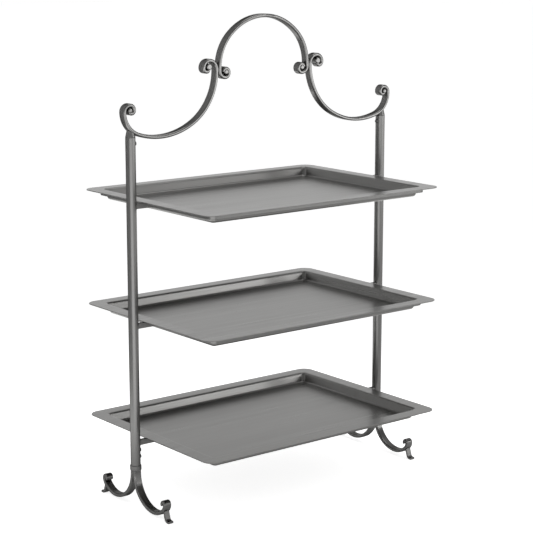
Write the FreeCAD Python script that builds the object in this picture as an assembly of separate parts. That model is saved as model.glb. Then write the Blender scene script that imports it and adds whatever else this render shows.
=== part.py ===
import FreeCAD, Part
import math
import os

# Three-tier display stand: two tube posts on scrolled feet, a scrolled handle across the top,
# and three loose pressed-steel trays that drop into hoops between the posts.
# Millimetres. +Z is up, X runs along the trays, -Y is the front.
# The origin is on the ground, midway between the posts.

Vector = FreeCAD.Vector
UP = Vector(0, 0, 1)
ALONG = Vector(1, 0, 0)
DEEP = Vector(0, 1, 0)

# Trays, pressed from sheet with a flat rim and one sloping wall
tray_length = 381.0
tray_width = 279.4
tray_corner_radius = 15.0
rim_width = 20.1
wall_inset = 4.0
well_depth = 12.3
well_corner_radius = 4.8
sheet_thickness = 1.2
rim_edge_radius = 0.45
rim_bend_radius = 3.0
floor_bend_radius = 3.0

# Tiers, measured to the top of each tray's rim
bottom_rim_height = 90.4
tier_pitch = 152.4
tier_names = ("bottom", "middle", "top")

# Posts
post_diameter = 12.7
post_wall = 1.2
post_to_rim_gap = 9.15
post_top_height = 477.0
seam_edge_radius = 0.5

# Flat bar with rounded edges, bent across its thickness for the handle and the legs
bar_thickness = 4.76
bar_width = 11.1
bar_edge_radius = 1.9
bar_end_radius = 0.9

# Feet
foot_height = 57.2
collar_height = 6.3
collar_diameter = 14.6
collar_edge_radius = 0.6
socket_depth = 2.0
spigot_reach = 28.0
leg_straight = 3.3
leg_ground_clearance = 4.0
leg_rise_radius = 32.0
leg_rise_turn = 45.0
leg_neck_radius = 9.5
leg_neck_turn = 50.0
leg_curl_radius = 2.75
leg_curl_turn = 215.0
toe_thickness = 3.2
toe_width = 7.94
toe_slope = 72.0
toe_bend_radius = 5.0
toe_lip = 2.4
toe_edge_radius = 0.9

# Handle: a central arch between two C-scrolls
arch_width = 148.2
arch_crown_radius = 77.2
arch_crown_turn = 45.0
arch_straight = 3.6
arch_curl_radii = (8.6, 5.8, 5.3, 3.2)
arch_curl_tip = 1.0
arch_eye_place = (0.1, -3.4)
arch_eye_radius = 3.4
scroll_inner_radius = 75.5
scroll_inner_turn = 60.0
scroll_straight = 0.5
scroll_inner_curl_radii = (11.1, 9.1, 4.7, 3.0)
scroll_inner_curl_tip = 3.4
scroll_inner_eye_place = (0.2, 0.1)
scroll_inner_eye_radius = 4.2
scroll_outer_radius = 30.0
scroll_outer_turn = 72.0
scroll_overhang = 10.4
scroll_outer_curl_radii = (8.2, 6.1, 4.0, 2.5)
scroll_outer_curl_tip = 3.0
scroll_outer_eye_place = (1.5, 0.2)
scroll_outer_eye_radius = 3.1
eye_rise = 0.6
eye_edge_radius = 1.5
handle_weld_length = 2.4
plug_rise = 5.4
plug_taper = 0.22
plug_reach = 20.0

# Hoops that the trays drop into, and the arms that hold the hoops to the posts
hoop_height = 6.35
hoop_thickness = 2.4
hoop_to_wall_gap = 2.9
hoop_corner_radius = 9.4
hoop_edge_radius = 0.4
arm_width = 6.35

# Screws
screw_diameter = 3.5
screw_length = 7.0
screw_head_diameter = 5.6
screw_head_height = 1.1
screw_head_edge_radius = 0.7
screw_recess_width = 0.9
screw_recess_span = 3.4
screw_recess_depth = 0.6
foot_screw_rise = 10.5
foot_screw_pitch = 8.7
handle_screw_drop = 8.0

# Clearances
weld_gap = 0.12
spigot_clearance = 0.1
socket_clearance = 0.15
thread_clearance = 0.05
screw_hole_clearance = 0.15
recess_overcut = 1.0
level_tolerance = 0.01

# Places worked out from the sizes above
sides = {"left": -1, "right": 1}
facings = {"front": -1, "rear": 1}
post_radius = post_diameter / 2
tube_bore_radius = post_radius - post_wall
post_x = tray_length / 2 + post_to_rim_gap + post_radius
collar_bottom = foot_height - collar_height
post_bottom = foot_height - socket_depth
half_bar = bar_thickness / 2
rim_tops = {name: bottom_rim_height + tier_pitch * k for k, name in enumerate(tier_names)}
foot_screw_heights = [foot_height + foot_screw_rise + foot_screw_pitch * k for k in range(2)]
handle_screw_height = post_top_height - handle_screw_drop


def sin(degrees):
    return math.sin(math.radians(degrees))


def cos(degrees):
    return math.cos(math.radians(degrees))


def arc_chain(start, heading, steps):
    """Pieces of a flat path of straights and tangent arcs.

    A step is (length, 0) for a straight or (radius, turn) for an arc, with the turn in degrees and
    positive to the left. A piece is its two end points, with the arc's middle point between them.
    """
    pieces = []
    u, v = start
    for size, turn in steps:
        if turn == 0:
            end = (u + size * cos(heading), v + size * sin(heading))
            pieces.append(((u, v), end))
        else:
            hand = math.copysign(1, turn)
            centre_u = u - hand * size * sin(heading)
            centre_v = v + hand * size * cos(heading)
            points = []
            for share in (0.5, 1.0):
                angle = heading + turn * share
                points.append((centre_u + hand * size * sin(angle), centre_v - hand * size * cos(angle)))
            middle, end = points
            pieces.append(((u, v), middle, end))
            heading += turn
        u, v = end
    return pieces


def curl(radii, tip, hand):
    """Steps of a spiral that tightens every quarter turn, down to the bar's straight tip in its eye."""
    return [(radius, hand * 90.0) for radius in radii] + [(tip, 0)]


def path_wire(pieces, place):
    """Wire of a flat path, put in space by place(u, v)."""
    edges = []
    for piece in pieces:
        points = [place(*point) for point in piece]
        curve = Part.LineSegment(*points) if len(points) == 2 else Part.Arc(*points)
        edges.append(curve.toShape())
    return Part.Wire(edges)


def rounded_wire(centre, first, second, length, width, radius):
    """Closed rectangle with round corners, length along first and width along second."""
    def at(p, q):
        return centre + first * p + second * q

    straight_p = length / 2 - radius
    straight_q = width / 2 - radius
    corners = []
    for quarter, (p, q) in enumerate(((1, 1), (-1, 1), (-1, -1), (1, -1))):
        points = []
        for step in (0.0, 45.0, 90.0):
            angle = 90.0 * quarter + step
            points.append(at(p * straight_p + radius * cos(angle), q * straight_q + radius * sin(angle)))
        corners.append(points)
    edges = []
    for here, after in zip(corners, corners[1:] + corners[:1]):
        edges.append(Part.Arc(*here).toShape())
        edges.append(Part.LineSegment(here[-1], after[0]).toShape())
    return Part.Wire(edges)


def bent_bar(pieces, place, across, thickness, width, edge_radius):
    """Bar of rounded section carried along a flat path, its width along the unit vector across."""
    path = path_wire(pieces, place)
    start = place(*pieces[0][0])
    first = path_wire(pieces[:1], place).Edges[0]
    in_plane = across.cross(first.tangentAt(first.FirstParameter))
    section = rounded_wire(start, in_plane, across, thickness, width, edge_radius)
    return path.makePipeShell([section], True, False)


def stock_bar(pieces, place, across, spare=0.0):
    """Length of the flat bar. With spare it is that much fatter all round, to cut a seat in what meets it."""
    thickness = bar_thickness + 2 * spare
    return bent_bar(pieces, place, across, thickness, bar_width + 2 * spare, bar_edge_radius + spare)


def ends_eased(bar, ends):
    """The bar with the edges rounded on each flat face that has one of the points at its middle."""
    edges = []
    for face in bar.Faces:
        if min(face.CenterOfMass.distanceToPoint(end) for end in ends) < level_tolerance:
            edges += face.Edges
    return bar.makeFillet(bar_end_radius, edges)


def upright_cylinder(radius, x, low, high):
    return Part.makeCylinder(radius, high - low, Vector(x, 0, low), UP)


def level_edges(shape, height):
    """Edges that lie level at a height."""
    found = []
    for edge in shape.Edges:
        box = edge.BoundBox
        if max(abs(box.ZMin - height), abs(box.ZMax - height)) < level_tolerance:
            found.append(edge)
    return found


def tray_outline(inset, radius, height):
    """The tray's outline drawn in by an inset, with its own corner radius."""
    length = tray_length - 2 * inset
    return rounded_wire(UP * height, ALONG, DEEP, length, tray_width - 2 * inset, radius)


def on_rim(edge):
    """True for an edge of the tray's outer outline."""
    point = edge.valueAt((edge.FirstParameter + edge.LastParameter) / 2)
    return min(tray_length / 2 - abs(point.x), tray_width / 2 - abs(point.y)) < rim_width / 2


def tray():
    """Pressed tray with the top of its rim at height 0."""
    under_depth = well_depth + sheet_thickness
    slope = wall_inset / well_depth
    wall_spread = sheet_thickness * math.hypot(1, slope)
    under_corner = well_corner_radius + sheet_thickness
    plate = Part.Face(tray_outline(0, tray_corner_radius, -sheet_thickness)).extrude(UP * sheet_thickness)
    well_mouth = tray_outline(rim_width, well_corner_radius, 0)
    well_floor = tray_outline(rim_width + wall_inset, well_corner_radius, -well_depth)
    hollow = Part.makeLoft([well_mouth, well_floor], True, True)
    under_inset = rim_width - wall_spread
    bowl_mouth = tray_outline(under_inset, under_corner, 0)
    bowl_floor = tray_outline(under_inset + slope * under_depth, under_corner, -under_depth)
    bowl = Part.makeLoft([bowl_mouth, bowl_floor], True, True)
    shape = plate.fuse(bowl).cut(hollow).removeSplitter()
    bends = ((0, rim_bend_radius), (-sheet_thickness, rim_bend_radius - sheet_thickness),
             (-well_depth, floor_bend_radius), (-under_depth, floor_bend_radius + sheet_thickness))
    for height, radius in bends:
        well = [edge for edge in level_edges(shape, height) if not on_rim(edge)]
        shape = shape.makeFillet(radius, well)
    for height in (0, -sheet_thickness):
        rim = [edge for edge in level_edges(shape, height) if on_rim(edge)]
        shape = shape.makeFillet(rim_edge_radius, rim)
    return shape


def screw_hole(x, side, height, radius, depth):
    """Round hole along X, from outside the post's inner face to a depth inside it."""
    mouth = x - side * (post_radius + recess_overcut)
    return Part.makeCylinder(radius, depth + recess_overcut, Vector(mouth, 0, height), ALONG * side)


def post(side):
    """Tube with the holes for the handle's and the foot's screws on its inner side."""
    x = side * post_x
    tube = upright_cylinder(post_radius, x, post_bottom, post_top_height)
    tube = tube.makeFillet(seam_edge_radius, level_edges(tube, post_top_height))
    tube = tube.cut(upright_cylinder(tube_bore_radius, x, post_bottom, post_top_height))
    for height in [*foot_screw_heights, handle_screw_height]:
        radius = screw_diameter / 2 + screw_hole_clearance
        tube = tube.cut(screw_hole(x, side, height, radius, post_radius))
    return tube


def tapped(shape, side, heights):
    """The shape with a threaded hole for each screw, its thread left plain."""
    for height in heights:
        radius = screw_diameter / 2 + thread_clearance
        shape = shape.cut(screw_hole(side * post_x, side, height, radius, screw_length + spigot_clearance))
    return shape


def foot_socket(side):
    """Collar that the post stands in, with the spigot that the foot screws hold."""
    x = side * post_x
    collar = upright_cylinder(collar_diameter / 2, x, collar_bottom, foot_height)
    rims = [edge for edge in collar.Edges if edge.Closed]
    collar = collar.makeFillet(collar_edge_radius, rims)
    collar = collar.cut(upright_cylinder(post_radius + socket_clearance, x, post_bottom, foot_height))
    spigot_radius = tube_bore_radius - spigot_clearance
    spigot = upright_cylinder(spigot_radius, x, collar_bottom, foot_height + spigot_reach)
    shape = collar.fuse(spigot).removeSplitter()
    return tapped(shape, side, foot_screw_heights)


def leg_pieces():
    """Path of a leg, out and down from the collar to its curled end."""
    bend = collar_bottom - leg_straight - leg_ground_clearance - half_bar
    steps = [(leg_straight, 0), (bend, 90.0), (leg_rise_radius, leg_rise_turn),
             (leg_neck_radius, leg_neck_turn), (leg_curl_radius, leg_curl_turn)]
    return arc_chain((half_bar + weld_gap, collar_bottom), -90.0, steps)


def foot_place(side, facing):
    return lambda u, v: Vector(side * post_x, facing * u, v)


def foot_leg(side, facing):
    """Leg bent out and down from the collar, its end rolled into a knob."""
    pieces = leg_pieces()
    place = foot_place(side, facing)
    return ends_eased(stock_bar(pieces, place, ALONG), [place(*pieces[-1][-1])])


def foot_toe(side, facing):
    """Strip from the leg's rising end down to a flat lip on the ground."""
    rise_end = leg_pieces()[2][-1]
    drop = rise_end[1] - toe_thickness / 2
    slope_length = (drop - toe_bend_radius * (1 - cos(toe_slope))) / sin(toe_slope)
    steps = [(slope_length, 0), (toe_bend_radius, toe_slope), (toe_lip, 0)]
    pieces = arc_chain(rise_end, -toe_slope, steps)
    place = foot_place(side, facing)
    strip = bent_bar(pieces, place, ALONG, toe_thickness, toe_width, toe_edge_radius)
    return lowest_solid(strip.cut(stock_bar(leg_pieces()[:-1], place, ALONG, weld_gap)))


def lowest_solid(shape):
    return min(shape.Solids, key=lambda solid: solid.BoundBox.ZMin)


def scroll_layout():
    """The C-scroll's middle radius, and the place of its low point."""
    inner_slope = 90.0 - scroll_inner_turn
    outer_slope = 90.0 - scroll_outer_turn
    inner_x = arch_width / 2 + weld_gap + half_bar
    outer_x = post_x + scroll_overhang
    side_runs = scroll_inner_radius * (1 - sin(inner_slope)) + scroll_outer_radius * (1 - sin(outer_slope))
    low_radius = (outer_x - inner_x - side_runs) / (sin(inner_slope) + sin(outer_slope))
    low_x = inner_x + scroll_inner_radius * (1 - sin(inner_slope)) + low_radius * sin(inner_slope)
    bend_x = outer_x - scroll_outer_radius * (1 - sin(outer_slope))
    post_slope = math.degrees(math.asin(sin(outer_slope) + (post_x - bend_x) / scroll_outer_radius))
    climb = low_radius * (1 - cos(outer_slope)) + scroll_outer_radius * (cos(outer_slope) - cos(post_slope))
    low_z = post_top_height + plug_rise + half_bar / cos(post_slope) - climb
    return low_radius, low_x, low_z


def weld_top():
    """Height where the C-scroll's inner side ends its rise, welded to the arch."""
    low_radius, _, low_z = scroll_layout()
    inner_slope = 90.0 - scroll_inner_turn
    rise = low_radius * (1 - cos(inner_slope)) + scroll_inner_radius * cos(inner_slope)
    return low_z + rise + scroll_straight


def handle_place(side):
    return lambda u, v: Vector(side * u, 0, v)


def scroll_inner_pieces():
    """Path of a C-scroll from its low point in to the arch, ending in the inner curl."""
    low_radius, low_x, low_z = scroll_layout()
    steps = [(low_radius, -(90.0 - scroll_inner_turn)), (scroll_inner_radius, -scroll_inner_turn),
             (scroll_straight, 0), *curl(scroll_inner_curl_radii, scroll_inner_curl_tip, -1)]
    return arc_chain((low_x, low_z), 180.0, steps)


def scroll_outer_pieces():
    """Path of a C-scroll from its low point out over the post, ending in the outer curl."""
    low_radius, low_x, low_z = scroll_layout()
    steps = [(low_radius, 90.0 - scroll_outer_turn), (scroll_outer_radius, scroll_outer_turn),
             *curl(scroll_outer_curl_radii, scroll_outer_curl_tip, 1)]
    return arc_chain((low_x, low_z), 0.0, steps)


def handle_bar(pieces, place):
    """Bar of the handle, rounded at both of its ends."""
    return ends_eased(stock_bar(pieces, place, DEEP), [place(*pieces[0][0]), place(*pieces[-1][-1])])


def eye(tip, side, hand, eye_place, radius):
    """Round boss forged on a curl's tip, a little proud of the bar's sides, that fills the curl's eye.

    tip is the path's last straight. eye_place is how far the boss's middle lies back from the tip's end,
    and how far to its side, positive on the outside of the turn. hand is the way that the curl turns.
    """
    (start_u, start_v), (end_u, end_v) = tip
    length = math.hypot(end_u - start_u, end_v - start_v)
    along_u, along_v = (end_u - start_u) / length, (end_v - start_v) / length
    back, out = eye_place
    middle_u = end_u - back * along_u + hand * out * along_v
    middle_v = end_v - back * along_v - hand * out * along_u
    reach = bar_width + 2 * eye_rise
    boss = Part.makeCylinder(radius, reach, handle_place(side)(middle_u, middle_v) - DEEP * reach / 2, DEEP)
    return boss.makeFillet(eye_edge_radius, [edge for edge in boss.Edges if edge.Closed])


def handle_scroll(side):
    """C-scroll of the handle, bent in one length from eye to eye."""
    inner = scroll_inner_pieces()
    outer = scroll_outer_pieces()
    from_inner_eye = [tuple(reversed(piece)) for piece in reversed(inner)]
    bar = handle_bar(from_inner_eye + outer, handle_place(side))
    bar = bar.fuse(eye(inner[-1], side, -1, scroll_inner_eye_place, scroll_inner_eye_radius))
    bar = bar.fuse(eye(outer[-1], side, 1, scroll_outer_eye_place, scroll_outer_eye_radius))
    return bar.removeSplitter()


def handle_arch():
    """Arch between the C-scrolls, curled inwards at both ends and made in one bend."""
    half_span = arch_width / 2 - weld_gap - half_bar
    crown_run = arch_crown_radius * sin(arch_crown_turn)
    side_radius = (half_span - crown_run) / (1 - sin(arch_crown_turn))
    shoulder = weld_top() - handle_weld_length + arch_straight
    crown_z = shoulder + side_radius * cos(arch_crown_turn) + arch_crown_radius * (1 - cos(arch_crown_turn))
    steps = [(arch_crown_radius, -arch_crown_turn), (side_radius, arch_crown_turn - 90.0),
             (arch_straight, 0), *curl(arch_curl_radii, arch_curl_tip, -1)]
    right = arc_chain((0.0, crown_z), 0.0, steps)
    left = [tuple((-u, v) for u, v in reversed(piece)) for piece in reversed(right)]
    bar = handle_bar(left + right, handle_place(1))
    for side in sides.values():
        bar = bar.fuse(eye(right[-1], side, -1, arch_eye_place, arch_eye_radius))
    return bar.removeSplitter()


def handle_plug(side):
    """Turned plug in the top of a post, tapered up to its seat under the C-scroll."""
    x = side * post_x
    spigot_radius = tube_bore_radius - spigot_clearance
    spigot = upright_cylinder(spigot_radius, x, post_top_height - plug_reach, post_top_height)
    taper_height = plug_rise + bar_width  # past the scroll's underside, which cuts it back
    taper = Part.makeCone(post_radius, post_radius - plug_taper * taper_height, taper_height,
                          Vector(x, 0, post_top_height), UP)
    taper = taper.makeFillet(seam_edge_radius, level_edges(taper, post_top_height))
    over_post = stock_bar(scroll_outer_pieces()[:2], handle_place(side), DEEP, weld_gap)
    seat = lowest_solid(taper.cut(over_post))
    return tapped(spigot.fuse(seat).removeSplitter(), side, [handle_screw_height])


def hoop_inset():
    """Distance from the tray's edge to the hoop's outer face."""
    return rim_width - hoop_to_wall_gap - hoop_thickness


def tray_hoop(rim_top):
    """Flat bar on edge, bent round the tray's well and welded into a ring."""
    bottom = rim_top - sheet_thickness - hoop_height
    inset = hoop_inset()
    outer = Part.Face(tray_outline(inset, hoop_corner_radius, bottom))
    inner = Part.Face(tray_outline(inset + hoop_thickness, hoop_corner_radius - hoop_thickness, bottom))
    ring = outer.cut(inner).extrude(UP * hoop_height)
    lips = level_edges(ring, bottom) + level_edges(ring, bottom + hoop_height)
    return ring.makeFillet(hoop_edge_radius, lips)


def tray_arm(side, rim_top):
    """Square arm from a post to the end of a hoop."""
    hoop_end = tray_length / 2 - hoop_inset()
    top = rim_top - sheet_thickness
    low = Vector(hoop_end, -arm_width / 2, top - hoop_height)
    arm = Part.makeBox(post_x - hoop_end, arm_width, hoop_height, low)
    arm = arm.cut(upright_cylinder(post_radius + weld_gap, post_x, low.z, top))
    return arm if side > 0 else arm.rotate(Vector(0, 0, 0), UP, 180.0)


def screw(side, height):
    """Pan-head screw on the inner side of a post, with a cross recess."""
    seat = side * (post_x - post_radius - thread_clearance)
    inward = ALONG * -side
    head = Part.makeCylinder(screw_head_diameter / 2, screw_head_height, Vector(seat, 0, height), inward)
    face_x = seat - side * screw_head_height
    rims = [edge for edge in head.Edges if edge.Closed]
    crown = min(rims, key=lambda edge: abs(edge.BoundBox.XMin - face_x))
    head = head.makeFillet(screw_head_edge_radius, [crown])
    shank = Part.makeCylinder(screw_diameter / 2, screw_length, Vector(seat, 0, height), -inward)
    shape = head.fuse(shank).removeSplitter()
    for span, tall in ((screw_recess_span, screw_recess_width), (screw_recess_width, screw_recess_span)):
        corner = Vector(min(face_x, face_x + side * screw_recess_depth), -span / 2, height - tall / 2)
        shape = shape.cut(Part.makeBox(screw_recess_depth, span, tall, corner))
    return shape


def all_nodes():
    """Every piece of the stand by its name."""
    nodes = {}
    one_tray = tray()
    for tier, rim_top in rim_tops.items():
        nodes[f"tray_{tier}"] = one_tray.translated(UP * rim_top)
        nodes[f"tray_hoop_{tier}"] = tray_hoop(rim_top)
        for name, side in sides.items():
            nodes[f"hoop_arm_{tier}_{name}"] = tray_arm(side, rim_top)
    for name, side in sides.items():
        nodes[f"post_{name}"] = post(side)
        nodes[f"foot_socket_{name}"] = foot_socket(side)
        nodes[f"handle_scroll_{name}"] = handle_scroll(side)
        nodes[f"handle_plug_{name}"] = handle_plug(side)
        for way, facing in facings.items():
            nodes[f"foot_leg_{way}_{name}"] = foot_leg(side, facing)
            nodes[f"foot_toe_{way}_{name}"] = foot_toe(side, facing)
    nodes["handle_arch"] = handle_arch()
    nodes["handle_screws"] = Part.makeCompound([screw(side, handle_screw_height) for side in sides.values()])
    nodes["foot_screws"] = Part.makeCompound(
        [screw(side, height) for side in sides.values() for height in foot_screw_heights])
    return nodes


os.makedirs("parts", exist_ok=True)
for node, shape in all_nodes().items():
    shape.exportStep(f"parts/{node}.step")
    print(f"{node}: {len(shape.Solids)} solid, {shape.Volume:.1f} mm3, valid {shape.isValid()}")
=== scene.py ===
import bpy
import numpy as np
from bpy.props import FloatProperty, FloatVectorProperty, PointerProperty
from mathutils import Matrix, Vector


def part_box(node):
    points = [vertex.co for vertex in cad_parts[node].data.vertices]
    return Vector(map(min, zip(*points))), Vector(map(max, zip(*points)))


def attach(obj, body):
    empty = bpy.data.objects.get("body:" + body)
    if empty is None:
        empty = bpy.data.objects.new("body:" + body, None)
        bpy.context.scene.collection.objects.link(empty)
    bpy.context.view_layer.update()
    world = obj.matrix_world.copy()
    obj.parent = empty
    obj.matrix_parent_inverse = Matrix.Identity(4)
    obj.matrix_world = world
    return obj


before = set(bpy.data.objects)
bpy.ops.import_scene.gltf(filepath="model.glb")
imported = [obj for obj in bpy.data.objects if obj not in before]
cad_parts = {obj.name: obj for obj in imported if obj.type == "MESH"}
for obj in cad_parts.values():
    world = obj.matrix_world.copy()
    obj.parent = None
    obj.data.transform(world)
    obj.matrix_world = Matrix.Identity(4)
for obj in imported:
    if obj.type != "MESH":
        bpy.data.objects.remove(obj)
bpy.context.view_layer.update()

bl_info = {
    "name": "Tiered display stand",
    "version": (1, 0, 0),
    "blender": (4, 5, 0),
    "location": "3D View > Sidebar > Stand",
    "description": "Finishes, weld beads and a plain studio for a three-tier display stand",
    "category": "Object",
}

# Metres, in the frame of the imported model: X along the trays, -Y to the front, Z up.
MM = 0.001
ALONG_X, ALONG_Y, UP = np.eye(3)

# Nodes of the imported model
TIERS = ("bottom", "middle", "top")
SIDES = {"left": -1, "right": 1}
FACINGS = {"front": -1, "rear": 1}
TRAYS = [f"tray_{tier}" for tier in TIERS]
HOOPS = [f"tray_hoop_{tier}" for tier in TIERS]
ARMS = [f"hoop_arm_{tier}_{side}" for tier in TIERS for side in SIDES]
POSTS = [f"post_{side}" for side in SIDES]
TURNED = [f"{name}_{side}" for name in ("foot_socket", "handle_plug") for side in SIDES]
HANDLE = ["handle_arch"] + [f"handle_scroll_{side}" for side in SIDES]
FEET = [f"foot_{name}_{way}_{side}" for name in ("leg", "toe") for way in FACINGS for side in SIDES]
SCREWS = ["handle_screws", "foot_screws"]
BODY = "frame"

# Weld beads: points round a bead, along a short one and along a square one, and how square its path is
BEAD_COLUMNS = 16
SHORT_BEAD_ROWS = 40
SQUARE_PATH_POINTS = 96
ARM_SHARPNESS = 7.0
LEG_SHARPNESS = 4.5

# Finishes: share of the broad lines in a brushed grain, the part of a pattern's range that changes the
# roughness, and how far a face turns towards X before its grain runs across the tray
BROAD_SHARE = 0.55
PATTERN_RANGE = (0.3, 0.7)
END_FACE_COSINE = 0.3
BUMP_STRENGTH = 0.5
# Burnish: cosines between a true and a rounded normal where it starts and is full, the noise that breaks it
# up and the shares that this leaves, and its tone as a share of the colour
BURNISH_COSINES = (0.995, 0.85)
BURNISH_NOISE = (0.35, 0.65)
BURNISH_SHARES = (0.35, 1.0)
BURNISH_TONE = 1.2
# Painted shade in inside corners: how open a corner is where it starts and is full, and its tone
PAINTED_SHADE_OPENNESS = (0.85, 0.25)
PAINTED_SHADE_TONE = 0.45
MASK_RANGE = (0.0, 1.0)
MASK_SAMPLES = 4
# A Mix node's first and second input and its output, by the kind of data
MIX_SOCKETS = {"FLOAT": (2, 3, 0), "VECTOR": (4, 5, 1), "RGBA": (6, 7, 2)}

# Studio
SENSOR_WIDTH = 36.0
WHITE = (1.0, 1.0, 1.0, 1.0)
FLOOR_HALF = 14.0
SCREEN_POINTS = 48
# Distances from the stand's middle between which its shadow on the floor ends
SHADOW_REACH = (0.35, 1.0)
# Soft lamps: the place, width and height of each. All of them face LAMP_AIM.
LAMP_AIM = (0.0, 0.0, 0.3)
LAMPS = {"key": ((1.9, -2.3, 1.1), 0.6, 0.6),
         "low": ((1.0, -1.25, 0.37), 0.55, 0.16),
         "top": ((0.45, -0.2, 1.7), 0.9, 0.9)}
# Dark flags over and in front of the stand: the way to each, the cosines where it starts and is full, and the
# share of the white that it leaves
FLAGS = (((0.0, 0.0, 1.0), (0.22, 0.45), 0.35),
         ((0.15, -0.98, 0.10), (0.10, 0.60), 0.55))
# Grey screens round and under the stand: the angles from +X where each starts and ends, then the radius and
# height of its two edges
SCREENS = {"left_screen": ((1.60, 3.55), (0.70, 0.0), (0.70, 1.0)),
           "front_screen": ((4.50, 6.10), (0.45, 0.001), (1.60, 0.18)),
           # The screen under the stand is a painted shadow: a grey sheet that the metal mirrors in place of
           # the floor where the stand shades it
           "floor_screen": ((0.0, 2 * np.pi), (0.02, 0.0008), (0.45, 0.0008))}


class StandFinishes(bpy.types.PropertyGroup):
    """Colours and wear of the steel."""

    tray_colour: FloatVectorProperty(
        name="Tray steel", description="Reflectance of the trays' satin gunmetal sheet",
        subtype="COLOR", size=3, default=(0.300, 0.297, 0.290), min=0.0, max=1.0)
    frame_colour: FloatVectorProperty(
        name="Frame steel", description="Reflectance of the plated tube and bar",
        subtype="COLOR", size=3, default=(0.270, 0.268, 0.263), min=0.0, max=1.0)
    screw_colour: FloatVectorProperty(
        name="Screw steel", description="Reflectance of the dark plated screws",
        subtype="COLOR", size=3, default=(0.220, 0.218, 0.215), min=0.0, max=1.0)
    grazing_share: FloatProperty(
        name="Grazing share",
        description="Share of a clean metal's reflectance that plating leaves at a grazing angle",
        default=0.25, min=0.0, max=1.0)
    grain_depth: FloatProperty(
        name="Grain depth", description="Depth of the brushed lines and of the plating's orange peel",
        unit="LENGTH", default=0.012 * MM, min=0.0)
    wear_width: FloatProperty(
        name="Edge wear width", description="How far the burnish reaches from an edge",
        unit="LENGTH", default=0.9 * MM, min=0.0)
    # Painted shade: how far the colour darkens out of an inside corner
    tarnish_reach: FloatProperty(
        name="Tarnish reach", description="How far the darker tarnish reaches out of a corner",
        unit="LENGTH", default=6.0 * MM, min=0.0)


class StandWelds(bpy.types.PropertyGroup):
    """Sizes of the weld beads."""

    bead_radius: FloatProperty(
        name="Bead radius", description="Radius of the weld beads",
        unit="LENGTH", default=0.6 * MM, min=0.0)
    bar_thickness: FloatProperty(
        name="Bar thickness", description="Thickness of the bent bars that are welded",
        unit="LENGTH", default=4.76 * MM, min=0.0)
    ripple: FloatProperty(
        name="Ripple", description="Share of the bead's radius that its ripples take",
        default=0.09, min=0.0, max=0.5)
    ripple_pitch: FloatProperty(
        name="Ripple pitch", description="Distance between two ripples along a bead",
        unit="LENGTH", default=1.1 * MM, min=0.1 * MM)
    handle_weld_height: FloatProperty(
        name="Handle weld height", description="Height of the welds between the arch and the side scrolls",
        unit="LENGTH", default=553.5 * MM, min=0.0)
    handle_weld_depth: FloatProperty(
        name="Handle weld depth", description="Distance of those welds from the stand's middle plane",
        unit="LENGTH", default=4.75 * MM, min=0.0)
    handle_weld_length: FloatProperty(
        name="Handle weld length", description="Length of those welds",
        unit="LENGTH", default=5.0 * MM, min=0.0)
    toe_weld_reach: FloatProperty(
        name="Toe weld reach", description="Distance from a post's axis out to the weld of a toe",
        unit="LENGTH", default=67.2 * MM, min=0.0)
    toe_weld_height: FloatProperty(
        name="Toe weld height", description="Height of the weld between a toe and its leg",
        unit="LENGTH", default=13.2 * MM, min=0.0)
    toe_weld_spread: FloatProperty(
        name="Toe weld spread", description="How far a toe's two weld seams lie out and up from its middle",
        unit="LENGTH", default=1.27 * MM, min=0.0)


class StandStudio(bpy.types.PropertyGroup):
    """Camera, lamps and background."""

    camera_place: FloatVectorProperty(
        name="Camera place", description="Where the camera stands",
        subtype="TRANSLATION", unit="LENGTH", size=3, default=(-1.30310, -1.66383, 0.71856))
    camera_aim: FloatVectorProperty(
        name="Camera aim", description="Direction in which the camera looks",
        subtype="DIRECTION", size=3, default=(0.60613, 0.77009, -0.19892))
    focal_length: FloatProperty(
        name="Focal length", description="Lens on a 36 mm square frame, in millimetres",
        subtype="DISTANCE_CAMERA", default=109.885, min=1.0)
    room_level: FloatProperty(
        name="Room level", description="Brightness of the white room that lights the stand",
        default=0.80, min=0.0, max=2.0)
    floor_colour: FloatProperty(
        name="Floor colour", description="Grey level of the pale floor",
        default=0.86, min=0.0, max=1.0)
    floor_lift: FloatProperty(
        name="Floor lift", description="Glow that raises the floor to white where the metal mirrors it",
        default=0.64, min=0.0, max=1.0)
    near_floor_lift: FloatProperty(
        name="Near floor lift", description="The same glow in the stand's shadow, as the camera sees it",
        default=0.74, min=0.0, max=1.0)
    far_floor_lift: FloatProperty(
        name="Far floor lift",
        description="The same glow away from the stand's shadow, as the camera sees it",
        default=0.32, min=0.0, max=1.0)
    left_screen: FloatProperty(
        name="Left screen", description="Grey level of the screen that the metal mirrors on the left",
        default=0.46, min=0.0, max=1.0)
    front_screen: FloatProperty(
        name="Front screen", description="Grey level of the low screen that the metal mirrors at the front",
        default=0.62, min=0.0, max=1.0)
    # Painted shadow in reflections: grey level of the shaded floor under the stand, as the metal mirrors it
    floor_screen: FloatProperty(
        name="Floor screen",
        description="Grey level that the metal mirrors in place of the floor under the stand",
        default=0.70, min=0.0, max=1.0)
    key_power: FloatProperty(
        name="Key lamp", description="Power of the soft lamp at the front right",
        unit="POWER", default=3.4, min=0.0)
    low_power: FloatProperty(
        name="Low lamp", description="Power of the low soft lamp at the front right",
        unit="POWER", default=0.45, min=0.0)
    top_power: FloatProperty(
        name="Top lamp", description="Power of the soft lamp over the trays",
        unit="POWER", default=3.0, min=0.0)


# Meshes

def grid_faces(rows, columns):
    """Corner numbers of the quads of a grid that closes on itself both ways."""
    row, column = np.meshgrid(np.arange(rows), np.arange(columns), indexing="ij")
    below, after = (row + 1) % rows, (column + 1) % columns
    return np.stack([row * columns + column, below * columns + column,
                     below * columns + after, row * columns + after], axis=-1).reshape(-1, 4)


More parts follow.
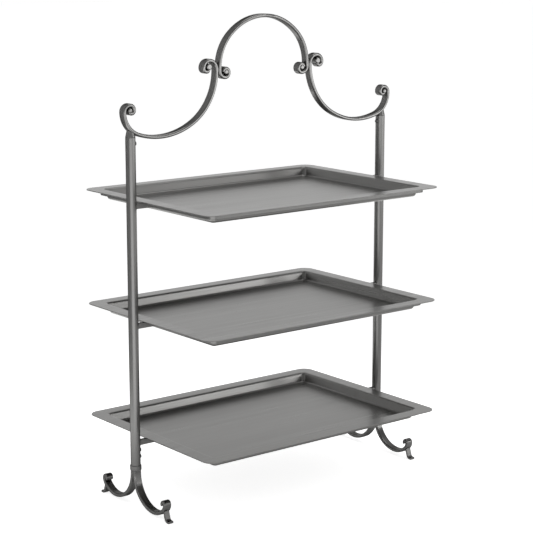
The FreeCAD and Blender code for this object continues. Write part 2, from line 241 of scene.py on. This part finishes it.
def capped_faces(rows, columns):
    """Corner numbers of a tube's quads and of the fans that close its ends on two pole points."""
    quads = grid_faces(rows, columns)[:(rows - 1) * columns]
    here = np.arange(columns)
    after = (here + 1) % columns
    first_pole, last_pole = rows * columns, rows * columns + 1
    start = np.stack([np.full(columns, first_pole), here, after], axis=-1)
    last_row = (rows - 1) * columns
    end = np.stack([np.full(columns, last_pole), last_row + after, last_row + here], axis=-1)
    return quads.tolist() + start.tolist() + end.tolist()


def ring_bead(path, outward, across, welds):
    """Closed weld bead: a circle carried round a closed path.

    point(s, a) = path(s) + r(s) * (cos a * outward(s) + sin a * across), where the radius r(s) swells
    and shrinks by the ripple's share along the path.
    """
    steps = np.linalg.norm(np.roll(path, -1, axis=0) - path, axis=1)
    along = np.concatenate([[0.0], np.cumsum(steps)[:-1]])
    waves = round(steps.sum() / welds.ripple_pitch)
    swell = welds.bead_radius * (1 + welds.ripple * np.cos(2 * np.pi * waves * along / steps.sum()))
    turn = np.linspace(0, 2 * np.pi, BEAD_COLUMNS, endpoint=False)
    ring = np.cos(turn)[None, :, None] * outward[:, None, :] + np.sin(turn)[None, :, None] * across
    points = path[:, None, :] + swell[:, None, None] * ring
    return points.reshape(-1, 3), grid_faces(len(path), BEAD_COLUMNS).tolist()


def short_bead(centre, axis, first, half_length, welds):
    """Short weld bead with round ends: a circle carried along a straight line.

    point(t, a) = centre + t * axis + r(t) * (cos a * first + sin a * second). The radius r(t) is that of
    a line with half-round ends, with a ripple along it, and the ends close on pole points.
    """
    radius = welds.bead_radius
    second = np.cross(axis, first)
    along = -np.cos(np.linspace(0, np.pi, SHORT_BEAD_ROWS + 2)) * half_length
    into_end = np.clip(np.abs(along) - (half_length - radius), 0, radius)
    profile = np.sqrt(np.maximum(radius ** 2 - into_end ** 2, 0))
    profile = profile * (1 + welds.ripple * np.cos(2 * np.pi * along / welds.ripple_pitch))
    turn = np.linspace(0, 2 * np.pi, BEAD_COLUMNS, endpoint=False)
    ring = np.cos(turn)[:, None] * first + np.sin(turn)[:, None] * second
    centre = np.array(centre)
    body = centre + along[1:-1, None, None] * axis + profile[1:-1, None, None] * ring[None]
    poles = centre + along[[0, -1], None] * axis
    return np.concatenate([body.reshape(-1, 3), poles]), capped_faces(SHORT_BEAD_ROWS, BEAD_COLUMNS)


def square_path(half_u, half_v, sharpness):
    """Closed rounded-square outline and its outward normals.

    |u / half_u| ^ n + |v / half_v| ^ n = 1, with n the sharpness, in even steps of the angle.
    """
    angle = np.linspace(0, 2 * np.pi, SQUARE_PATH_POINTS, endpoint=False)
    cosine, sine = np.cos(angle), np.sin(angle)
    size = (np.abs(cosine) ** sharpness + np.abs(sine) ** sharpness) ** (-1 / sharpness)
    u, v = half_u * size * cosine, half_v * size * sine
    normal = np.stack([np.sign(u) * np.abs(u / half_u) ** (sharpness - 1) / half_u,
                       np.sign(v) * np.abs(v / half_v) ** (sharpness - 1) / half_v], axis=-1)
    normal /= np.linalg.norm(normal, axis=1, keepdims=True)
    return u, v, normal


def new_object(name, points, faces, material):
    """An object at the origin, with a mesh of the given points and faces."""
    mesh = bpy.data.meshes.new(name)
    mesh.from_pydata(points, [], faces)
    mesh.materials.append(material)
    made = bpy.data.objects.new(name, mesh)
    bpy.context.scene.collection.objects.link(made)
    return made


def weld_piece(name, beads, material):
    """One object of several beads, riding on the frame."""
    points, faces, count = [], [], 0
    for bead_points, bead_faces in beads:
        points.append(bead_points)
        faces.extend([[corner + count for corner in face] for face in bead_faces])
        count += len(bead_points)
    piece = new_object(name, np.concatenate(points).tolist(), faces, material)
    piece.data.polygons.foreach_set("use_smooth", np.ones(len(piece.data.polygons), bool))
    piece.data.update()
    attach(piece, BODY)


def post_section(side):
    """A post's place along X and its radius."""
    low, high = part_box(f"post_{side}")
    return (low.x + high.x) / 2, (high.x - low.x) / 2


# Nodes

def feed(tree, node, inputs):
    """Links or sets a node's inputs, by their names or numbers."""
    for key, value in inputs.items():
        if isinstance(value, bpy.types.NodeSocket):
            tree.links.new(value, node.inputs[key])
        else:
            node.inputs[key].default_value = value


def add_node(tree, kind, inputs=None, **settings):
    """A node with its settings and its inputs."""
    node = tree.nodes.new(kind)
    for name, value in settings.items():
        setattr(node, name, value)
    feed(tree, node, inputs or {})
    return node


def mix(tree, factor, first, second, kind="FLOAT"):
    """The first value where the factor is 0 and the second where it is 1."""
    low, high, result = MIX_SOCKETS[kind]
    node = add_node(tree, "ShaderNodeMix", {"Factor": factor, low: first, high: second}, data_type=kind)
    return node.outputs[result]


def math_value(tree, operation, *values):
    """Result of a Math node."""
    node = add_node(tree, "ShaderNodeMath", dict(enumerate(values)), operation=operation)
    return node.outputs["Value"]


def vector_value(tree, operation, *vectors):
    """Result of a Vector Math node that gives a number."""
    node = add_node(tree, "ShaderNodeVectorMath", dict(enumerate(vectors)), operation=operation)
    return node.outputs["Value"]


def map_range(tree, value, given, wanted, curve="LINEAR"):
    """The value with one range taken to another and held at its ends."""
    inputs = {"Value": value, "From Min": given[0], "From Max": given[1],
              "To Min": wanted[0], "To Max": wanted[1]}
    return add_node(tree, "ShaderNodeMapRange", inputs, interpolation_type=curve).outputs["Result"]


def noise(tree, place, scale, detail, roughness):
    """Value of a Noise Texture."""
    inputs = {"Vector": place, "Scale": scale, "Detail": detail, "Roughness": roughness}
    return add_node(tree, "ShaderNodeTexNoise", inputs).outputs["Fac"]


# Materials

def new_group(name, inputs, outputs):
    """An empty shader node group with named sockets, with its input sockets and its output node."""
    tree = bpy.data.node_groups.new(name, "ShaderNodeTree")
    for socket, kind in inputs.items():
        tree.interface.new_socket(socket, in_out="INPUT", socket_type=kind)
    for socket in outputs:
        tree.interface.new_socket(socket, in_out="OUTPUT", socket_type="NodeSocketFloat")
    return tree, tree.nodes.new("NodeGroupInput").outputs, tree.nodes.new("NodeGroupOutput")


def brushed_grain(name):
    """Lines of a brushed finish: fine ones and broad ones, on coordinates stretched along the grain."""
    tree, given, result = new_group(name, {"Vector": "NodeSocketVector"}, ["Pattern", "Height"])
    fine = noise(tree, given["Vector"], scale=1.0, detail=3.0, roughness=0.6)
    broad = noise(tree, given["Vector"], scale=0.16, detail=2.0, roughness=0.5)
    feed(tree, result, {"Pattern": mix(tree, BROAD_SHARE, fine, broad), "Height": fine})
    return tree


def plated_cloud(name):
    """Soft mottling of a plated finish and its fine orange peel."""
    tree, given, result = new_group(name, {"Vector": "NodeSocketVector"}, ["Pattern", "Height"])
    cloud = noise(tree, given["Vector"], scale=60.0, detail=4.0, roughness=0.6)
    peel = noise(tree, given["Vector"], scale=900.0, detail=2.0, roughness=0.5)
    feed(tree, result, {"Pattern": cloud, "Height": peel})
    return tree


def edge_wear(name):
    """Mask of burnished edges: where the normal departs from a rounded one, broken up by noise."""
    inputs = {"Vector": "NodeSocketVector", "Width": "NodeSocketFloat"}
    tree, given, result = new_group(name, inputs, ["Mask"])
    rounded = add_node(tree, "ShaderNodeBevel", {"Radius": given["Width"]}, samples=MASK_SAMPLES)
    normal = add_node(tree, "ShaderNodeNewGeometry").outputs["Normal"]
    agreement = vector_value(tree, "DOT_PRODUCT", rounded.outputs["Normal"], normal)
    edge = map_range(tree, agreement, BURNISH_COSINES, MASK_RANGE)
    breakup = noise(tree, given["Vector"], scale=140.0, detail=3.0, roughness=0.6)
    patches = map_range(tree, breakup, BURNISH_NOISE, BURNISH_SHARES)
    feed(tree, result, {"Mask": math_value(tree, "MULTIPLY", edge, patches)})
    return tree


def corner_tarnish(name):
    """Mask of painted shade: darker colour in inside corners, where ambient occlusion finds the surface
    closed in.
    """
    tree, given, result = new_group(name, {"Reach": "NodeSocketFloat"}, ["Mask"])
    openness = add_node(tree, "ShaderNodeAmbientOcclusion", {"Distance": given["Reach"]},
                        samples=MASK_SAMPLES, only_local=True).outputs["AO"]
    feed(tree, result, {"Mask": map_range(tree, openness, PAINTED_SHADE_OPENNESS, MASK_RANGE)})
    return tree


def place_group(tree, maker, inputs):
    """Outputs of a shared node group in a material. Its maker builds it once and gives it its name."""
    group = bpy.data.node_groups.get(maker.__name__) or maker(maker.__name__)
    return add_node(tree, "ShaderNodeGroup", inputs, node_tree=group).outputs


def toned(colour, share):
    """A share of a colour, with its alpha."""
    return (*[min(1.0, part * share) for part in colour], 1.0)


def steel(name, colour, finishes, roughness, spread, stretch=None, end_stretch=None, grazing_share=None):
    """Satin steel with a grain, burnished edges and painted shade in inside corners.

    roughness is its lowest and highest value, and spread is how much the grain changes the colour. stretch
    scales Object coordinates so that the grain runs along their smallest part, and end_stretch does so on
    faces that look along X. Without a stretch the finish is clouded and not brushed. grazing_share takes the
    place of the finishes' own.
    """
    material = bpy.data.materials.new(name)
    material.use_nodes = True
    tree = material.node_tree
    place = add_node(tree, "ShaderNodeTexCoord").outputs["Object"]

    def stretched(scale):
        return add_node(tree, "ShaderNodeMapping", {"Vector": place, "Scale": scale}).outputs["Vector"]

    if stretch is None:
        grain = place_group(tree, plated_cloud, {"Vector": place})
    else:
        lines = stretched(stretch)
        if end_stretch:
            normal = add_node(tree, "ShaderNodeNewGeometry").outputs["True Normal"]
            toward_x = add_node(tree, "ShaderNodeSeparateXYZ", {"Vector": normal}).outputs["X"]
            turn = math_value(tree, "ABSOLUTE", toward_x)
            at_end = math_value(tree, "GREATER_THAN", turn, END_FACE_COSINE)
            lines = mix(tree, at_end, lines, stretched(end_stretch), "VECTOR")
        grain = place_group(tree, brushed_grain, {"Vector": lines})
    wear = place_group(tree, edge_wear, {"Vector": place, "Width": finishes.wear_width})
    painted_shade = place_group(tree, corner_tarnish, {"Reach": finishes.tarnish_reach})

    pattern = grain["Pattern"]
    grained = mix(tree, pattern, toned(colour, 1 - spread), toned(colour, 1 + spread), "RGBA")
    # Painted shade: the colour darkens towards its tone in inside corners, from the ambient occlusion mask
    corner_shaded = mix(tree, painted_shade["Mask"], grained, toned(colour, PAINTED_SHADE_TONE), "RGBA")
    burnished = mix(tree, wear["Mask"], corner_shaded, toned(colour, BURNISH_TONE), "RGBA")
    bump = add_node(tree, "ShaderNodeBump", {"Strength": BUMP_STRENGTH, "Distance": finishes.grain_depth,
                                             "Height": grain["Height"]})
    share = finishes.grazing_share if grazing_share is None else grazing_share
    feed(tree, tree.nodes["Principled BSDF"],
         {"Metallic": 1.0, "Specular Tint": (share, share, share, 1.0), "Base Color": burnished,
          "Roughness": map_range(tree, pattern, PATTERN_RANGE, roughness),
          "Normal": bump.outputs["Normal"]})
    return material


def bar_steel(finishes):
    """The bent bars' finish, made once."""
    name = "plated_bar_steel"
    return bpy.data.materials.get(name) or steel(name, finishes.frame_colour, finishes,
                                                 roughness=(0.14, 0.22), spread=0.10)


def dress(nodes, material):
    """Gives CAD nodes their finish."""
    for name in nodes:
        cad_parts[name].material_slots[0].material = material


# Studio

def set_camera(scene, studio):
    """Camera at the photograph's place and angle."""
    data = bpy.data.cameras.new("photo_camera")
    data.lens = studio.focal_length
    data.sensor_width = SENSOR_WIDTH
    camera = bpy.data.objects.new("photo_camera", data)
    camera.location = studio.camera_place
    camera.rotation_euler = Vector(studio.camera_aim).to_track_quat("-Z", "Y").to_euler()
    scene.collection.objects.link(camera)
    scene.camera = camera


def hang_lamp(scene, name, power):
    """Soft lamp in its place, turned to the stand."""
    place, width, height = LAMPS[name]
    data = bpy.data.lights.new(f"{name}_softbox", "AREA")
    data.shape = "RECTANGLE"
    data.size = width
    data.size_y = height
    data.energy = power
    lamp = bpy.data.objects.new(f"{name}_softbox", data)
    lamp.location = place
    lamp.rotation_euler = (Vector(LAMP_AIM) - Vector(place)).to_track_quat("-Z", "Y").to_euler()
    scene.collection.objects.link(lamp)


def seen_directly(tree):
    """1 for a ray from the camera, a reflection or a refraction, and 0 for one that only lights."""
    path = add_node(tree, "ShaderNodeLightPath").outputs
    pair = math_value(tree, "MAXIMUM", path["Is Camera Ray"], path["Is Glossy Ray"])
    return math_value(tree, "MAXIMUM", pair, path["Is Transmission Ray"])


def left_by_flags(tree):
    """Share of the white that the dark flags leave in each direction, each a soft cap round its own axis."""
    direction = add_node(tree, "ShaderNodeTexCoord").outputs["Generated"]
    share = 1.0
    for axis, start_and_core, level in FLAGS:
        toward = vector_value(tree, "DOT_PRODUCT", direction, axis)
        cap = map_range(tree, toward, start_and_core, (1.0, level), "SMOOTHSTEP")
        share = math_value(tree, "MULTIPLY", share, cap)
    return share


def set_room(scene, studio):
    """White to the camera, white with dark flags in the metal, and a little lower as light."""
    world = bpy.data.worlds.new("white_room")
    world.use_nodes = True
    tree = world.node_tree
    level = map_range(tree, seen_directly(tree), MASK_RANGE, (studio.room_level, 1.0))
    mirrored = add_node(tree, "ShaderNodeLightPath").outputs["Is Glossy Ray"]
    flagged = mix(tree, mirrored, 1.0, left_by_flags(tree))
    strength = math_value(tree, "MULTIPLY", level, flagged)
    feed(tree, tree.nodes["Background"], {"Color": WHITE, "Strength": strength})
    scene.world = world


def matt_material(name, grey):
    """A matt grey material, with its shader."""
    material = bpy.data.materials.new(name)
    material.use_nodes = True
    tree = material.node_tree
    tree.nodes.remove(tree.nodes["Principled BSDF"])
    matt = add_node(tree, "ShaderNodeBsdfDiffuse", {"Color": (grey, grey, grey, 1.0)}).outputs["BSDF"]
    feed(tree, tree.nodes["Material Output"], {"Surface": matt})
    return material, matt


def lay_floor(studio):
    """Flat pale square that glows for rays that see it directly.

    To the camera the glow is stronger near the stand, so its shadow there is faint.
    """
    material, matt = matt_material("pale_floor", studio.floor_colour)
    tree = material.node_tree
    reach = vector_value(tree, "LENGTH", add_node(tree, "ShaderNodeTexCoord").outputs["Object"])
    near_and_far = (studio.near_floor_lift, studio.far_floor_lift)
    shown = map_range(tree, reach, SHADOW_REACH, near_and_far, "SMOOTHSTEP")
    by_camera = add_node(tree, "ShaderNodeLightPath").outputs["Is Camera Ray"]
    lift = mix(tree, by_camera, studio.floor_lift, shown)
    glow = add_node(tree, "ShaderNodeEmission",
                    {"Strength": math_value(tree, "MULTIPLY", seen_directly(tree), lift)})
    both = add_node(tree, "ShaderNodeAddShader", {0: matt, 1: glow.outputs["Emission"]})
    feed(tree, tree.nodes["Material Output"], {"Surface": both.outputs["Shader"]})
    corners = [(-1, -1), (1, -1), (1, 1), (-1, 1)]
    points = [(FLOOR_HALF * x, FLOOR_HALF * y, 0) for x, y in corners]
    floor = new_object("floor", points, [(0, 1, 2, 3)], material)


def stand_screen(name, grey):
    """Grey screen that only reflections see.

    point(a) = (r cos a, r sin a, h) on each of its two edges, with straight lines between them.
    """
    (start, end), *edges = SCREENS[name]
    angle = np.linspace(start, end, SCREEN_POINTS)
    ring = np.stack([np.cos(angle), np.sin(angle), np.ones(SCREEN_POINTS)], axis=-1)
    points = np.concatenate([ring * (radius, radius, height) for radius, height in edges])
    here = np.arange(SCREEN_POINTS - 1)
    other = here + SCREEN_POINTS
    faces = np.stack([here, other, other + 1, here + 1], axis=-1)
    material, _ = matt_material(name, grey)
    screen = new_object(name, points.tolist(), faces.tolist(), material)
    screen.visible_camera = False
    screen.visible_diffuse = False
    screen.visible_shadow = False


# Operators

class FinishTrays(bpy.types.Operator):
    """Brushed sheet steel on the three trays, its grain along them and along their end walls"""
    bl_idname = "stand.finish_trays"
    bl_label = "Finish trays"

    def execute(self, context):
        finishes = context.scene.stand_finishes
        dress(TRAYS, steel("brushed_tray_steel", finishes.tray_colour, finishes, roughness=(0.26, 0.38),
                           spread=0.07, stretch=(14.0, 1500.0, 1500.0),
                           end_stretch=(1500.0, 14.0, 1500.0), grazing_share=1.0))
        return {"FINISHED"}


class FinishHoops(bpy.types.Operator):
    """Flat-bar steel on the hoops and the arms"""
    bl_idname = "stand.finish_hoops"
    bl_label = "Finish hoops and arms"

    def execute(self, context):
        finishes = context.scene.stand_finishes
        dress(HOOPS + ARMS, steel("hoop_bar_steel", finishes.frame_colour, finishes, roughness=(0.28, 0.40),
                                  spread=0.10, stretch=(30.0, 30.0, 1300.0)))
        return {"FINISHED"}


class FinishPosts(bpy.types.Operator):
    """Plated tube steel on the posts, polished lengthwise, and turned steel on their sockets and plugs"""
    bl_idname = "stand.finish_posts"
    bl_label = "Finish posts"

    def execute(self, context):
        finishes = context.scene.stand_finishes
        dress(POSTS, steel("post_tube_steel", finishes.frame_colour, finishes, roughness=(0.24, 0.34),
                           spread=0.09, stretch=(1400.0, 1400.0, 9.0)))
        dress(TURNED, steel("turned_collar_steel", finishes.frame_colour, finishes, roughness=(0.24, 0.36),
                            spread=0.10, stretch=(60.0, 60.0, 1800.0)))
        return {"FINISHED"}


class FinishHandle(bpy.types.Operator):
    """Plated bar steel on the arch and the side scrolls"""
    bl_idname = "stand.finish_handle"
    bl_label = "Finish handle"

    def execute(self, context):
        dress(HANDLE, bar_steel(context.scene.stand_finishes))
        return {"FINISHED"}


class FinishFeet(bpy.types.Operator):
    """Plated bar steel on the legs and the toes"""
    bl_idname = "stand.finish_feet"
    bl_label = "Finish feet"

    def execute(self, context):
        dress(FEET, bar_steel(context.scene.stand_finishes))
        return {"FINISHED"}


class FinishScrews(bpy.types.Operator):
    """Dark plated steel on the screws"""
    bl_idname = "stand.finish_screws"
    bl_label = "Finish screws"

    def execute(self, context):
        finishes = context.scene.stand_finishes
        dress(SCREWS, steel("screw_steel_dark", finishes.screw_colour, finishes, roughness=(0.24, 0.36),
                            spread=0.12))
        return {"FINISHED"}


class AddArmWelds(bpy.types.Operator):
    """Beads round the arms where they meet the posts, and beside them where they meet the hoops"""
    bl_idname = "stand.add_arm_welds"
    bl_label = "Add arm welds"

    def execute(self, context):
        welds = context.scene.stand_welds
        rounds, ends = [], []
        for tier in TIERS:
            for name, side in SIDES.items():
                low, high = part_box(f"hoop_arm_{tier}_{name}")
                axis_x, radius = post_section(name)
                middle, half_height = (low.z + high.z) / 2, (high.z - low.z) / 2
                u, v, normal = square_path(high.y, half_height, ARM_SHARPNESS)
                path = np.stack([axis_x - side * np.sqrt(radius ** 2 - u ** 2), u, middle + v], axis=-1)
                outward = np.concatenate([np.zeros((len(u), 1)), normal], axis=1)
                rounds.append(ring_bead(path, outward, side * ALONG_X, welds))
                hoop_x = low.x if side > 0 else high.x
                for facing in FACINGS.values():
                    ends.append(short_bead((hoop_x, facing * high.y, middle), UP, ALONG_X,
                                           half_height - welds.bead_radius / 2, welds))
        material = bar_steel(context.scene.stand_finishes)
        weld_piece("arm_post_welds", rounds, material)
        weld_piece("arm_hoop_welds", ends, material)
        return {"FINISHED"}


class AddFootWelds(bpy.types.Operator):
    """Beads round the legs under the collars, and along the toes where they meet the legs"""
    bl_idname = "stand.add_foot_welds"
    bl_label = "Add foot welds"

    def execute(self, context):
        welds = context.scene.stand_welds
        rounds, seams = [], []
        for name in SIDES:
            low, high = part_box(f"foot_leg_front_{name}")
            axis_x, _ = post_section(name)
            half_pair = welds.bar_thickness - high.y
            u, v, normal = square_path((high.x - low.x) / 2, half_pair, LEG_SHARPNESS)
            path = np.stack([axis_x + u, v, np.full(len(u), high.z)], axis=-1)
            outward = np.concatenate([normal, np.zeros((len(u), 1))], axis=1)
            rounds.append(ring_bead(path, outward, -UP, welds))
            toe_low, toe_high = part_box(f"foot_toe_front_{name}")
            half_toe = (toe_high.x - toe_low.x) / 2
            for facing in FACINGS.values():
                for offset in (-welds.toe_weld_spread, welds.toe_weld_spread):
                    reach, height = welds.toe_weld_reach + offset, welds.toe_weld_height + offset
                    seams.append(short_bead((axis_x, facing * reach, height), ALONG_X, ALONG_Y,
                                            half_toe - welds.bead_radius, welds))
        material = bar_steel(context.scene.stand_finishes)
        weld_piece("leg_collar_welds", rounds, material)
        weld_piece("toe_welds", seams, material)
        return {"FINISHED"}


class AddHandleWelds(bpy.types.Operator):
    """Beads in the grooves between the arch and the side scrolls, front and rear"""
    bl_idname = "stand.add_handle_welds"
    bl_label = "Add handle welds"

    def execute(self, context):
        welds = context.scene.stand_welds
        _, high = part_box("handle_arch")
        beads = []
        for side in SIDES.values():
            for facing in FACINGS.values():
                centre = (side * high.x, facing * welds.handle_weld_depth, welds.handle_weld_height)
                beads.append(short_bead(centre, UP, ALONG_X, welds.handle_weld_length / 2, welds))
        weld_piece("handle_welds", beads, bar_steel(context.scene.stand_finishes))
        return {"FINISHED"}


class SetStudio(bpy.types.Operator):
    """Camera, white room, pale floor, grey screens and soft lamps"""
    bl_idname = "stand.set_studio"
    bl_label = "Set up the studio"

    def execute(self, context):
        scene = context.scene
        studio = scene.stand_studio
        scene.view_settings.view_transform = "Standard"
        set_camera(scene, studio)
        set_room(scene, studio)
        lay_floor(studio)
        for name in SCREENS:
            stand_screen(name, getattr(studio, name))
        for name in LAMPS:
            hang_lamp(scene, name, getattr(studio, f"{name}_power"))
        return {"FINISHED"}


STEPS = (FinishTrays, FinishHoops, FinishPosts, FinishHandle, FinishFeet, FinishScrews,
         AddArmWelds, AddFootWelds, AddHandleWelds, SetStudio)
SETTINGS = {"stand_finishes": StandFinishes, "stand_welds": StandWelds, "stand_studio": StandStudio}


class StandPanel(bpy.types.Panel):
    """The stand's sizes, colours and steps"""
    bl_idname = "VIEW3D_PT_display_stand"
    bl_label = "Display stand"
    bl_space_type = "VIEW_3D"
    bl_region_type = "UI"
    bl_category = "Stand"

    def draw(self, context):
        for name, settings in SETTINGS.items():
            box = self.layout.box()
            for value in settings.__annotations__:
                box.prop(getattr(context.scene, name), value)
        for step in STEPS:
            self.layout.operator(step.bl_idname)


def register():
    for made in (*SETTINGS.values(), *STEPS, StandPanel):
        bpy.utils.register_class(made)
    for name, settings in SETTINGS.items():
        setattr(bpy.types.Scene, name, PointerProperty(type=settings))


def unregister():
    for name in SETTINGS:
        delattr(bpy.types.Scene, name)
    for made in (StandPanel, *reversed(STEPS), *reversed(SETTINGS.values())):
        bpy.utils.unregister_class(made)


def main():
    register()
    for step in STEPS:
        family, action = step.bl_idname.split(".")
        getattr(getattr(bpy.ops, family), action)()


if __name__ == "__main__":
    main()
